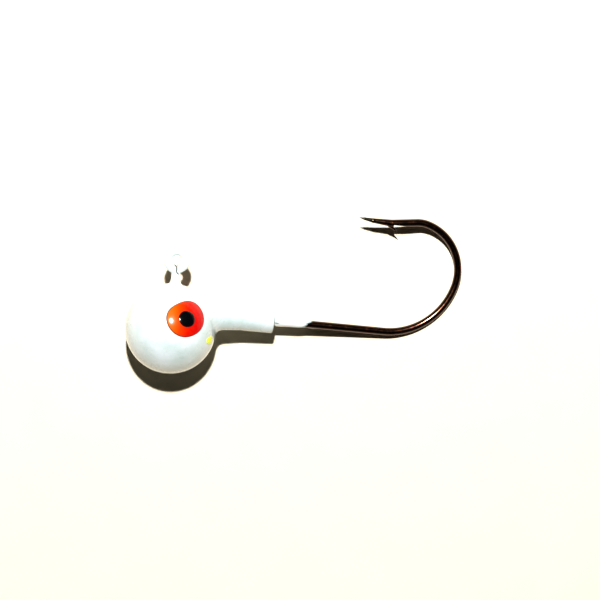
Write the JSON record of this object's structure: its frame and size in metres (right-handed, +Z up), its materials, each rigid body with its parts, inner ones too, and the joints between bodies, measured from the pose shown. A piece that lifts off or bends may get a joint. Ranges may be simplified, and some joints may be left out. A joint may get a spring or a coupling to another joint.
{
  "type": "jig head",
  "caption": "Ball-nosed fishing jig head with painted eyes, a plain bait collar and a bronze wire hook with a 90 degree line tie, lying on its cheek.",
  "frame": {"origin": "on the table, under the middle of the whole jig's box, as it lies at rest on its right cheek and its bend", "axes": "+Z up off the table; +X along the shank, seen from above, from the ball to the bend; +Y from the ball to the line tie and the hook point's side"},
  "size_m": [0.0384, 0.0208, 0.0106],
  "materials": {
    "bronzed_wire": "glossy lacquered bronze on high-carbon wire, almost black",
    "lead": "dull cast lead",
    "white_paint": "glossy dipped white vinyl paint",
    "red_paint": "glossy fluorescent red paint, fading to orange towards the nose",
    "black_paint": "glossy black paint",
    "yellow_paint": "glossy yellow-green paint"
  },
  "bodies": {
    "root": {"hook": "bronzed_wire", "lead_body": "lead", "head_paint": "white_paint", "line_tie_paint": "white_paint", "shank_paint": "white_paint", "iris_left": "red_paint", "iris_right": "red_paint", "pupil_left": "black_paint", "pupil_right": "black_paint", "paint_fleck": "yellow_paint"}
  },
  "joints": []
}
